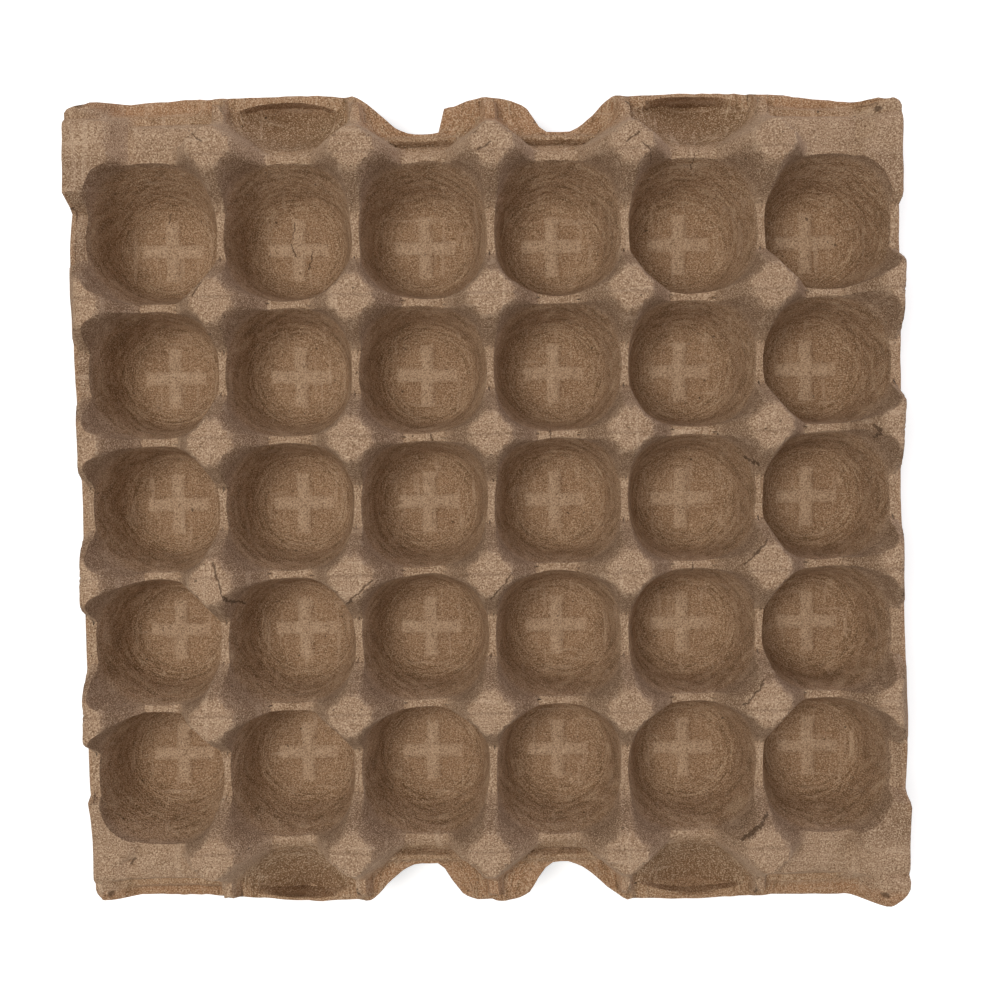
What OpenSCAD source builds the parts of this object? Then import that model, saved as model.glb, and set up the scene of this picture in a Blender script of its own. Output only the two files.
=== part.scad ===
// Egg tray moulded from paper pulp in one sheet: cups in a square grid,
// diamond-topped peaks between them and a rim with finger bays and pockets.
// Millimetres. Origin: middle of the tray on the surface it stands on, +Z up.
// +X runs along the rows of cups, +Y towards one of the two flanged sides.

/* [Grid] */
// Distance from cup to cup, both ways
pitch = 48; // [46:0.5:54]
// Cups in a row, along X
columns = 6; // [4:2:8]
// Rows of cups, along Y
rows = 5; // [3:1:7]
// Thickness of the pulp sheet
wall = 1.8; // [1.2:0.1:2.2]

/* [Heights] */
// Flat tops of the peaks
peak_h = 47; // [42:0.5:54]
// Lands between neighbouring cups
saddle_h = 29; // [27:0.5:32]
// Upper face of the outer rim
rim_h = 24; // [20:0.5:25]
// Depth of the rim's turned-down lip
lip_drop = 4.5; // [3:0.5:8]

/* [Cups] */
// Width of the lands between neighbouring cups, where they are narrowest
land_w = 3.4; // [2.8:0.1:6]
// Slope of the cup wall, away from upright
cup_draft = 10; // [8:0.5:12]
// Radius between a cup's floor and its wall
cup_fillet = 6; // [4:0.5:7]
// Width of the raised cross on a cup's floor
cross_w = 5.2; // [4:0.1:7]
// Floor left bare beyond each end of the cross
cross_gap = 0.5; // [0.3:0.1:3]
// Height of the cross above the floor
cross_h = 1.6; // [0.8:0.1:2]

/* [Peaks] */
// Half diagonal of a peak's flat top
peak_top = 8.2; // [5:0.1:10]
// Gap between a cup's mouth and the foot of a peak's flank
peak_gap = 0.3; // [0.1:0.1:2]
// Width of the band down each corner of a peak, at the lands
band_w = 2.8; // [1.5:0.1:4]
// Width of the same band at the flat top
band_top_w = 1.6; // [0.8:0.1:2]
// Setback of the half peaks on the plain sides from the rim
half_peak_set = 5.7; // [4:0.1:9]
// Setback of the edge rows of peaks from the edge of the cup grid
edge_peak_set = 2.2; // [0:0.1:3]

/* [Rim] */
// Rim beyond the cup grid on the two plain sides
side_rim = 3.5; // [2.5:0.1:8]
// Flange beyond the cup grid on the two flanged sides
flange = 27.5; // [26:0.5:34]
// Radius of the rim's corners in plan
corner_r = 10; // [6:0.5:14]
// Setback of the plain side at the height of the lands
side_set = 0.8; // [0.5:0.1:4]
// Setback of the plain side at the height of the peaks
side_top_set = 6.2; // [5:0.1:9]
// Run of the slope from the outermost land down to the flange
ridge_run = 5.3; // [3:0.1:7]
// Width of the land along the outermost row of peaks
ridge_w = 3.4; // [2:0.1:5]

/* [Flange] */
// Width of the ribs between pockets and bays
post_w = 3.3; // [2.8:0.1:5]
// Setback of the ribs' ends from the rim
post_set = 5.5; // [3:0.5:8]
// Depth of a finger bay, in from the rim
bay_depth = 14.5; // [11:0.5:16]
// Half width of the straight bottom of a bay
bay_flat = 3; // [1:0.5:6]
// Radius inside a bay
bay_r = 8; // [6:0.5:9]
// Radius at a bay's mouth
bay_mouth_r = 6; // [4:0.5:8]
// Width of the crease between a bay and its ridge
crease_w = 2; // [1:0.1:3]
// Depth of the crease
crease_d = 0.9; // [0.4:0.1:1]
// Radius of a pocket's outer edge in plan
pocket_arc = 41; // [34:1:60]
// Rim left outside a pocket
pocket_rim = 4; // [3:0.5:8]
// Height of a pocket's deepest edge
pocket_h = 13; // [8:0.5:17]

/* [Corners] */
// Flat land on each corner, beside the last peak of the edge row
corner_land_h = 31; // [30:0.5:36]
// Depth of that land, out from the edge row of peaks
corner_land_d = 14; // [11:0.5:16]
// Ledge outside the land: height
ledge_h = 26.5; // [25.5:0.5:29]
// Ledge outside the land: depth, out from the edge row of peaks
ledge_d = 19.3; // [18:0.1:22]
// Raised outer end of each corner
corner_h = 40; // [37:0.5:44]
// Mouth radius of the dimple in each corner of the rim
dimple_r = 2.6; // [1.8:0.1:3]
// Depth of the dimple
dimple_d = 4; // [2:0.5:6]
// Setback of the dimple from both edges of the rim
dimple_set = 7; // [6:0.1:9]

/* [Hidden] */
$fn = 64;
// outer size, and the lines of the edge rows and columns of peaks
tray_w = columns * pitch + 2 * side_rim;
tray_d = rows * pitch + 2 * flange;
edge_x = columns * pitch / 2;
edge_y = rows * pitch / 2;
edge_peak_y = edge_y - edge_peak_set;
lip_h = rim_h - lip_drop;
// mouth of a cup, and half diagonal of a peak, at the height of the lands
cup_r = (pitch - land_w) / 2;
peak_foot = pitch - sqrt(2) * (cup_r + peak_gap);
// a peak narrows by these amounts for each mm of height
peak_rise = peak_h - saddle_h;
diamond_run = (peak_foot - peak_top) / sqrt(2) / peak_rise;
band_run = (peak_foot - band_w / 2 - peak_top + band_top_w / 2) / peak_rise;
// centre of the round between a cup's floor and its wall
cup_floor = wall;
round_z = cup_floor + cup_fillet;
round_r = cup_r - (saddle_h - round_z) * tan(cup_draft) - cup_fillet / cos(cup_draft);
cross_span = 2 * (round_r - cross_gap);
// the slope of a pocket's floor runs from the outermost land to the pocket's arc
ridge_y = edge_y + ridge_w / 2;
pocket_y = tray_d / 2 - pocket_rim;
pocket_slope = atan((saddle_h - pocket_h) / (pocket_y - ridge_y));
// overlap that carries one cut clear of the next face
past = 1;

// half width of a flank at height z: reach at the top, run per mm, inset by t
function flank(reach, run, top, z, t) = reach + run * (top - z) - t * sqrt(1 + run * run);

// the flange carries a bay at the middle columns and a pocket at the others but the last
function column_x(i) = (i - (columns - 1) / 2) * pitch;
function is_bay(i) = abs(column_x(i)) < pitch;
function is_pocket(i) = !is_bay(i) && i > 0 && i < columns - 1;

// bar along Y, as wide as 2 * low at z_low and 2 * high at z_high
module wedge_bar(length, low, z_low, high, z_high)
    rotate([90, 0, 0])
        translate([0, 0, -length / 2])
            linear_extrude(length)
                polygon([[-low, z_low], [low, z_low], [high, z_high], [-high, z_high]]);

// lowest height of a form: the cut that hollows it starts below the lip
function base(t) = t > 0 ? lip_h - past : lip_h;

// peak with its square turned by 45 degrees and its corners cut to narrow bands;
// cut off at height top, its faces set in by t
module peak(t, top)
    intersection() {
        intersection_for (turn = [45, -45])
            rotate(turn)
                wedge_bar(4 * pitch, flank(peak_top / sqrt(2), diamond_run, peak_h, base(t), t), base(t),
                          flank(peak_top / sqrt(2), diamond_run, peak_h, top - t, t), top - t);
        intersection_for (turn = [0, 90])
            rotate(turn)
                wedge_bar(4 * pitch, flank(peak_top - band_top_w / 2, band_run, peak_h, base(t), t), base(t),
                          flank(peak_top - band_top_w / 2, band_run, peak_h, top - t, t), top - t);
    }

// peaks at every inner corner of the grid and on the two edge rows
module peaks(t)
    for (i = [1:columns - 1])
        for (j = [0:rows])
            translate([i * pitch - edge_x, min(max(j * pitch - edge_y, -edge_peak_y), edge_peak_y), 0])
                peak(t, peak_h);

// half peaks along the plain sides, trimmed later by the side's slope
module half_peaks(t)
    for (side = [-1, 1])
        for (j = [1:rows - 1])
            translate([side * (tray_w / 2 - half_peak_set), j * pitch - edge_y, 0])
                peak(t, peak_h);

// raised land beside the last peak of the edge row, with a ledge outside it
module corner_land(t)
    intersection() {
        rotate([90, 0, 90])
            linear_extrude(edge_x + pitch)
                polygon([[edge_y + t, base(t)],
                         [edge_y + ledge_d - t, base(t)],
                         [edge_y + ledge_d - t, ledge_h - t],
                         [edge_y + corner_land_d + diamond_run * (corner_land_h - ledge_h) - t, ledge_h - t],
                         [edge_y + corner_land_d - t, corner_land_h - t],
                         [edge_y + t, corner_land_h - t]]);
        translate([edge_x, edge_y, 0])
            wedge_bar(2 * flange, flank(pitch + post_w / 2, diamond_run, corner_land_h, base(t), t), base(t),
                      flank(pitch + post_w / 2, diamond_run, corner_land_h, corner_land_h - t, t),
                      corner_land_h - t);
    }

// raised outer end of a corner: a low peak drawn out towards the flange
module corner_end(t) {
    translate([edge_x, edge_y, 0])
        peak(t, corner_h);
    translate([edge_x, edge_y + corner_land_d / 2, 0])
        wedge_bar(corner_land_d - 2 * t, flank(peak_top - band_top_w / 2, band_run, peak_h, base(t), t),
                  base(t), flank(peak_top - band_top_w / 2, band_run, peak_h, corner_h - t, t), corner_h - t);
}

module corners(t)
    for (mx = [0, 1])
        for (my = [0, 1])
            mirror([mx, 0, 0])
                mirror([0, my, 0]) {
                    corner_land(t);
                    corner_end(t);
                }

// plate of the whole outline, rounded at its corners
module plate(size_x, size_y, r, z_low, z_high)
    translate([0, 0, z_low])
        linear_extrude(z_high - z_low) {
            square([size_x - 2 * r, size_y], center = true);
            square([size_x, size_y - 2 * r], center = true);
            for (mx = [-1, 1])
                for (my = [-1, 1])
                    translate([mx * (size_x / 2 - r), my * (size_y / 2 - r)])
                        circle(r);
        }

// block of the cup grid up to the lands, sloping down to the flanges
module field(t)
    rotate([90, 0, 90])
        translate([0, 0, -tray_w / 2])
            linear_extrude(tray_w)
                polygon([[-ridge_y - ridge_run + t, base(t)],
                         [ridge_y + ridge_run - t, base(t)],
                         [ridge_y + ridge_run - t, rim_h - t],
                         [ridge_y - t / 2, saddle_h - t],
                         [-ridge_y + t / 2, saddle_h - t],
                         [-ridge_y - ridge_run + t, rim_h - t]]);

// slope of the two plain sides, from the rim up past the lands to the peaks
module side_slope(t)
    rotate([90, 0, 0])
        translate([0, 0, -tray_d / 2])
            linear_extrude(tray_d)
                polygon([[-tray_w / 2 + t, base(t)],
                         [tray_w / 2 - t, base(t)],
                         [tray_w / 2 - t, rim_h - t / 2],
                         [tray_w / 2 - side_set - t, saddle_h - t / 2],
                         [tray_w / 2 - side_top_set - t, peak_h],
                         [-tray_w / 2 + side_top_set + t, peak_h],
                         [-tray_w / 2 + side_set + t, saddle_h - t / 2],
                         [-tray_w / 2 + t, rim_h - t / 2]]);

// ribs that carry the edge peaks' outer corners on towards the rim
module posts(t)
    for (i = [1:columns - 1])
        for (side = [-1, 1])
            translate([i * pitch - edge_x, side * (edge_y + (flange - post_set - t) / 2), 0])
                wedge_bar(flange - post_set - t, flank(post_w / 2, diamond_run, saddle_h, base(t), t), base(t),
                          flank(post_w / 2, diamond_run, saddle_h, saddle_h - t, t), saddle_h - t);

// everything under the upper face, without the cups; t sets the face in by that much
module deck(t) {
    plate(tray_w - 2 * t, tray_d - 2 * t, corner_r - t, base(t), rim_h - t);
    posts(t);
    intersection() {
        side_slope(t);
        union() {
            field(t);
            peaks(t);
            half_peaks(t);
        }
    }
    intersection() {
        plate(tray_w - 2 * t, tray_d - 2 * t, corner_r - t, base(t), corner_h);
        corners(t);
    }
}

// half section of a cup, set out by t and filled up to height top
module cup_section(t, top)
    intersection() {
        union() {
            translate([round_r, round_z])
                circle(cup_fillet + t);
            polygon([[0, cup_floor - t],
                     [round_r, cup_floor - t],
                     [round_r + (cup_fillet + t) * cos(cup_draft), round_z - (cup_fillet + t) * sin(cup_draft)],
                     [cup_r + t / cos(cup_draft) - (t > 0 ? (saddle_h - top) * tan(cup_draft) : 0),
                      t > 0 ? top : saddle_h],
                     [t > 0 ? 0 : cup_r, top],
                     [0, top]]);
        }
        square([pitch, peak_h + 2 * past]);
    }

module cups(t, top)
    for (i = [0:columns - 1])
        for (j = [0:rows - 1])
            translate([column_x(i), (j - (rows - 1) / 2) * pitch, 0])
                rotate_extrude()
                    cup_section(t, top);

// cross with round ends, in plan
module cross_plan(width)
    for (turn = [0, 90])
        rotate(turn) {
            square([cross_span - width, width], center = true);
            for (side = [-1, 1])
                translate([side * (cross_span - width) / 2, 0])
                    circle(width / 2);
        }

// raised crosses on the cup floors, or with inset the hollows under them
module crosses(width, z_low, z_high)
    for (i = [0:columns - 1])
        for (j = [0:rows - 1])
            translate([column_x(i), (j - (rows - 1) / 2) * pitch, z_low])
                linear_extrude(z_high - z_low)
                    cross_plan(width);

// pocket in the flange: a floor sloping down from the ridge to an upright arc,
// stopped at both ends by the flanks of the edge peaks; set out by t
module pocket(t, top)
    difference() {
        intersection() {
            translate([0, pocket_y - pocket_arc, 0])
                cylinder(r = pocket_arc + t, h = top);
            rotate([90, 0, 90])
                translate([0, 0, -pitch / 2])
                    linear_extrude(pitch)
                        polygon([[ridge_y, saddle_h - t / cos(pocket_slope)],
                                 [pocket_y + wall + past,
                                  pocket_h - (wall + past) * tan(pocket_slope) - t / cos(pocket_slope)],
                                 [pocket_y + wall + past, peak_h],
                                 [ridge_y, peak_h]]);
            translate([0, edge_y, 0])
                wedge_bar(4 * flange, pitch / 2 - post_w - wall + t, 0, pitch / 2 - post_w - wall + t, peak_h);
        }
        for (side = [-1, 1])
            translate([side * pitch / 2, edge_peak_y, 0])
                peak(t, peak_h);
    }

module pockets(t, top)
    for (i = [0:columns - 1])
        if (is_pocket(i))
            for (my = [0, 1])
                mirror([0, my, 0])
                    translate([column_x(i), 0, 0])
                        pocket(t, top);

// finger bay in plan: straight bottom, round inside, flared at its mouth
module bay_plan() {
    bottom = tray_d / 2 - bay_depth;
    half = bay_flat + bay_r;
    for (side = [-1, 1])
        translate([side * bay_flat, bottom + bay_r])
            circle(bay_r);
    translate([-bay_flat, bottom])
        square([2 * bay_flat, bay_depth + past]);
    translate([-half, bottom + bay_r])
        square([2 * half, bay_depth - bay_r + past]);
    difference() {
        translate([-half - bay_mouth_r, tray_d / 2 - bay_mouth_r])
            square([2 * (half + bay_mouth_r), bay_mouth_r + past]);
        for (side = [-1, 1])
            translate([side * (half + bay_mouth_r), tray_d / 2 - bay_mouth_r])
                circle(bay_mouth_r);
    }
}

// bays through the flange, each with a crease at the foot of its ridge
module bays()
    for (i = [0:columns - 1])
        if (is_bay(i))
            for (my = [0, 1])
                mirror([0, my, 0])
                    translate([column_x(i), 0, 0]) {
                        translate([0, 0, lip_h - past])
                            linear_extrude(peak_h)
                                bay_plan();
                        translate([0, ridge_y + ridge_run, 0])
                            rotate([90, 0, 90])
                                linear_extrude(2 * (bay_flat + bay_r) + crease_w, center = true)
                                    polygon([[0, rim_h - crease_d],
                                             [crease_w / 2, rim_h + past],
                                             [-crease_w / 2, rim_h + past]]);
                    }

// dimples in the rim's corners, set out by t
module dimples(t, top)
    for (mx = [-1, 1])
        for (my = [-1, 1])
            translate([mx * (tray_w / 2 - dimple_set), my * (tray_d / 2 - dimple_set), rim_h - dimple_d - t])
                cylinder(r1 = dimple_r / 2 + t, r2 = dimple_r + t, h = dimple_d + t + top);

module tray()
    color([0.58, 0.45, 0.34])
        difference() {
            union() {
                difference() {
                    union() {
                        difference() {
                            deck(0);
                            deck(wall);
                        }
                        cups(wall, saddle_h - wall / 2);
                        pockets(wall, rim_h - wall / 2);
                        dimples(wall, -wall / 2);
                    }
                    cups(0, peak_h + past);
                    pockets(0, peak_h);
                    dimples(0, past);
                    bays();
                }
                crosses(cross_w, wall / 2, cup_floor + cross_h);
            }
            crosses(cross_w - 2 * wall, -past, cross_h);
        }

tray();
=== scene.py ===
import bpy
import numpy as np
from mathutils import Matrix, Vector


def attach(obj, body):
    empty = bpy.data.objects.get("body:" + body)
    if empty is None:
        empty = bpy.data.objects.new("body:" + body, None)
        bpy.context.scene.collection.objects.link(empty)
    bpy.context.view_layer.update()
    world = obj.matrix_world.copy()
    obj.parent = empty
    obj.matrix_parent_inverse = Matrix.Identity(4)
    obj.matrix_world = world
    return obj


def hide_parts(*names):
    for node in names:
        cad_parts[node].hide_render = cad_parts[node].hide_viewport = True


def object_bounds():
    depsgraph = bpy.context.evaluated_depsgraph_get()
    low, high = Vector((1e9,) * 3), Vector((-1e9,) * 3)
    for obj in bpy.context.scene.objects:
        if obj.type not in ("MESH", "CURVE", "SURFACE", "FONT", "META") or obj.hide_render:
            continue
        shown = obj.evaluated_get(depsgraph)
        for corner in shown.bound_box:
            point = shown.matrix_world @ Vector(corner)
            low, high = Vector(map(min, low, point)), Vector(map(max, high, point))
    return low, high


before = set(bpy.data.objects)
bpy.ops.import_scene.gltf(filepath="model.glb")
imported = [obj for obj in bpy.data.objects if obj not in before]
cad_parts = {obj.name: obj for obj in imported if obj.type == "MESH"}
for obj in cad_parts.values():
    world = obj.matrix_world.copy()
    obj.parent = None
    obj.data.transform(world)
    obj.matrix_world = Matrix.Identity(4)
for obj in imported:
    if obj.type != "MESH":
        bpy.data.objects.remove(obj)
cad_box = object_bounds()

# The cups
# Thirty round cups drawn from one sheet of wet pulp over a mould, in six columns and five rows.
# Each has a flat floor with a raised cross, a round at its foot and a steep wall up to the lands.
PITCH = 48.0
COLUMNS, ROWS = 6, 5
LAND_Z = 29.0
WALL = 1.8
CUP_R = 22.75
CUP_SQUARE = 2.5
CUP_DRAFT = np.radians(10.5)
CUP_ROUND = 10.5
CUP_FLOOR = WALL
ROUND_Z = CUP_FLOOR + CUP_ROUND
ROUND_R = CUP_R - (LAND_Z - ROUND_Z) * np.tan(CUP_DRAFT) - CUP_ROUND / np.cos(CUP_DRAFT)
WALL_R = ROUND_R + CUP_ROUND * np.cos(CUP_DRAFT)
WALL_Z = ROUND_Z - CUP_ROUND * np.sin(CUP_DRAFT)
SQUARE_FROM, SQUARE_TO = 15.0, 23.0
MOUTH_STEEP = 12.0
CROSS_HALF, CROSS_REACH, CROSS_H, CROSS_SOFT = 2.4, 11.4, 1.3, 0.7


def lower_of(a, b, soft):
    """The lower of two heights, rounded by a quadratic blend where they come closer than soft."""
    h = np.clip(0.5 + 0.5 * (b - a) / soft, 0.0, 1.0)
    return b + (a - b) * h - soft * h * (1.0 - h)


def higher_of(a, b, soft):
    """The higher of two heights, rounded in the same way."""
    return -lower_of(-a, -b, soft)


def ease(value, low, high):
    """0 below low, 1 above high, and a cubic step between them."""
    t = np.clip((value - low) / (high - low), 0.0, 1.0)
    return t * t * (3.0 - 2.0 * t)


def cup_middle(x, y):
    """Centre of the cup whose square of the grid holds the point."""
    column = np.clip(np.floor(x / PITCH), -COLUMNS / 2, COLUMNS / 2 - 1) + 0.5
    row = np.clip(np.round(y / PITCH), -(ROWS // 2), ROWS // 2)
    return column * PITCH, row * PITCH


def cup_height(x, y):
    """Height of a cup's upper face over the distance from its middle: level floor, quarter round, then a
    straight draft, steeper above the lands. The distance is a round one on the floor and turns into that
    of a rounded square, a power mean of the two offsets, at the mouth. The cross adds its height inside
    two round-ended arms."""
    cx, cy = cup_middle(x, y)
    dx, dy = np.abs(x - cx), np.abs(y - cy)
    r = np.hypot(dx, dy)
    square = (dx**CUP_SQUARE + dy**CUP_SQUARE) ** (1.0 / CUP_SQUARE)
    r = r + (square - r) * ease(r, SQUARE_FROM, SQUARE_TO)
    over = np.clip(r - ROUND_R, 0.0, CUP_ROUND * np.cos(CUP_DRAFT))
    foot = ROUND_Z - np.sqrt(CUP_ROUND**2 - over**2)
    wall = WALL_Z + (r - WALL_R) / np.tan(CUP_DRAFT)
    z = np.where(r > WALL_R, wall, foot) + MOUTH_STEEP * np.maximum(r - CUP_R, 0.0)
    reach = CROSS_REACH - CROSS_HALF
    along_x = np.hypot(np.maximum(dx - reach, 0.0), dy)
    along_y = np.hypot(np.maximum(dy - reach, 0.0), dx)
    arm = np.minimum(along_x, along_y) - CROSS_HALF
    return z + CROSS_H * (1.0 - ease(arm, -CROSS_SOFT, CROSS_SOFT))


# The peaks and lands
# Between four cups the sheet rises to a hollow peak with a flat diamond top; narrow bands cut its corners.
# Level lands join the peaks; half peaks stand along the plain sides, and low drawn-out ones at the corners.
PEAK_Z = 47.0
PEAK_TOP = 8.2
CUP_FLANK_STEEP, OUTER_FLANK_STEEP = 4.2, 2.17
FLANK_RUN = 1.0 / (OUTER_FLANK_STEEP * np.sqrt(2.0))
BAND_TOP = 7.6
BAND_RUN = 0.47
BAND_HALF = 1.5
BAND_SOFT, TOP_SOFT = 0.6, 0.5
EDGE_X, EDGE_Y = COLUMNS * PITCH / 2, ROWS * PITCH / 2
EDGE_PEAK_Y = 120.3
HALF_PEAK_X = 141.8
SIDE_LAND, SIDE_TOP = 146.9, 141.3
RIM_Z = 24.0
# Heights that drying has bent the four corners to, seen from above with +Y up: top left, top right, low
# left and low right.
CORNER_ENDS = (39.5, 34.0, 32.5, 36.5)
CORNER_TIPS = (38.0, 33.0, 31.0, 38.0)
TIP_X, TIP_Y = (128.0, 141.0), (130.0, 137.0)


def peak_height(dx, dy, top):
    """Height of one peak over the distances from its axis: level top, four flanks that fall with the sum
    of both, counted from the edge of the narrow bands, and the bands, which fall with the larger of the
    two."""
    beside = np.maximum(dx - BAND_HALF, 0.0) + np.maximum(dy - BAND_HALF, 0.0)
    flank = PEAK_Z - (beside - (PEAK_TOP - BAND_HALF)) * OUTER_FLANK_STEEP
    band = PEAK_Z - (np.maximum(dx, dy) - BAND_TOP) / BAND_RUN
    return lower_of(lower_of(flank, band, BAND_SOFT), top, TOP_SOFT)


def by_corner(x, y, values):
    """The one of four values, in the order of CORNER_ENDS, that belongs to the point's quarter of the
    tray."""
    top_left, top_right, low_left, low_right = values
    return np.where(x < 0, np.where(y > 0, top_left, low_left), np.where(y > 0, top_right, low_right))


def corner_rise(x, y):
    """How far the flange plate is bent up towards the nearest corner's tip."""
    tip = by_corner(x, y, CORNER_TIPS) - RIM_Z
    return tip * ease(np.abs(x), *TIP_X) * ease(np.abs(y), *TIP_Y)


def peak_offsets(x, y):
    """Distances from the axis of the nearest peak, half peak or corner, and the height of its top."""
    inner_x = np.clip(np.round(x / PITCH), 1 - COLUMNS / 2, COLUMNS / 2 - 1) * PITCH
    near_y = (np.clip(np.floor(y / PITCH), -(ROWS + 1) / 2, (ROWS - 1) / 2) + 0.5) * PITCH
    at_side = np.abs(x) > (HALF_PEAK_X + EDGE_X - PITCH) / 2
    edge = np.abs(near_y) > EDGE_Y - 1
    side_x = np.sign(x) * np.where(edge, EDGE_X, HALF_PEAK_X)
    dx = np.abs(x - np.where(at_side, side_x, inner_x))
    dy = np.where(edge & ~at_side, np.abs(y) - EDGE_PEAK_Y, np.abs(y - near_y) * np.where(edge, -1.0, 1.0))
    return dx, np.abs(dy), np.where(at_side & edge, by_corner(x, y, CORNER_ENDS), PEAK_Z)


def side_slope(x):
    """Height of the outer slope of the half peaks, from the edge of the side land up to their tops."""
    return LAND_Z + (SIDE_LAND - np.abs(x)) * (PEAK_Z - LAND_Z) / (SIDE_LAND - SIDE_TOP)


# The flanges
# Along two sides the sheet runs out into a flat flange with a turned-down lip. It carries posts that run on
# from the edge peaks, four lens-shaped pockets, four finger bays, and raised corners with ledge and dimple.
RIDGE_Y, RIDGE_RUN = 120.8, 6.2
FOLD_SOFT = 0.8
SHELF_START, SHELF_END, SHELF_RISE, SHELF_SOFT = 126.6, 130.6, 2.2, 0.6
SHELF_SIDE = (15.0, 18.0)
POST_HALF, POST_END, POST_END_RUN, POST_RISE = 1.7, 142.6, 0.3, 1.5
POST_FLANK, POST_FOOT, POST_FOOT_FADE = 1.3, 8.0, (124.0, 136.0)
POST_SOFT, POST_ROOT_SOFT = 1.5, 0.4
POCKET_X, POCKET_HALF, POCKET_END, POCKET_ARC = 72.0, 21.5, 144.3, 46.0
POCKET_START, POCKET_INNER, POCKET_FALL = 122.4, 22.5, 0.48
POCKET_SINK, POCKET_STEP, POCKET_STEP_RUN, POCKET_REACH = 0.4, 4.2, 2.5, 6.0
POCKET_WALL_STEEP, POCKET_SOFT, POCKET_RIM_SOFT = 16.0, 1.0, 0.6
CORNER_X, CORNER_LAND_Z, CORNER_LAND_Y, CORNER_LAND_START = 94.35, 31.0, 134.0, 117.0
CORNER_SOFT, CORNER_TOP_SOFT = 1.5, 1.2
LEDGE_Z, LEDGE_Y, LEDGE_SOFT, LEDGE_FALL = 26.5, 139.3, 1.0, 0.15
STEP_RUN = 0.4
END_FALL, END_FROM, END_SOFT, END_FALL_SOFT = 0.9, 134.0, 2.5, 2.0
VALLEY_X, VALLEY_Y, VALLEY_HALF, VALLEY_LONG, VALLEY_DEEP = 130.5, 129.0, 1.2, 6.0, 1.2
CREASE_HALF, CREASE_LONG, CREASE_DEEP = 0.2, 11.0, 1.3
GROOVE_X, GROOVE_SET, GROOVE_HALF, GROOVE_LONG, GROOVE_DEEP = 117.0, 0.6, 0.3, 20.0, 1.2
GROOVE_SOFT = 0.9
DIMPLE_AT, DIMPLE_FLAT, DIMPLE_R, DIMPLE_DEEP = 139.5, 0.6, 2.6, 1.2
BAY_X, BAY_BOTTOM = 24.0, 132.8
BAY_INNER, BAY_TORN, BAY_OUTER = (8.0, 22.0), (13.5, 19.5), (27.0, 50.0)
TONGUE_SET, TONGUE_FADE, TONGUE_CROWN, TONGUE_TIP = 1.6, (20.0, 60.0), 0.02, (12.0, 20.0)
OUTLINE = 147.5
# Set-back of the flange's edge for the four corners: an even part, the start and end of a run, the growth
# over that run, and the growth at the tip.
SET_BACKS = ((0.0, 102.0, 135.0, 2.0, 5.0), (1.2, 92.0, 140.0, 4.2, 1.2),
             (1.0, 60.0, 118.0, 2.6, 0.8), (0.3, 60.0, 118.0, 0.5, 0.0))
SET_BACK_TIP = (129.0, 143.0)
RAGGED, RAGGED_ENDS = 0.3, (90.0, 100.0)
CORNER_R = 11.0
LIP_DROP = 4.5
NOTHING_HERE = 99.0


def pocket_height(x, y):
    """Height of a pocket's floor: an eye between two arcs, falling from the inner arc towards a steep
    wall along the outer one."""
    dx = np.abs(np.abs(x) - POCKET_X)
    ay = np.abs(y)
    inner = POCKET_INNER - np.hypot(dx, ay - (POCKET_START + POCKET_INNER))
    outer = np.hypot(dx, ay - (POCKET_END - POCKET_ARC)) - POCKET_ARC
    step = POCKET_STEP * (1.0 - np.exp(-np.maximum(inner, -POCKET_REACH) / POCKET_STEP_RUN))
    floor = LAND_Z - POCKET_SINK - step - POCKET_FALL * inner
    return higher_of(floor, RIM_Z + POCKET_WALL_STEEP * outer, POCKET_SOFT)


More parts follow.
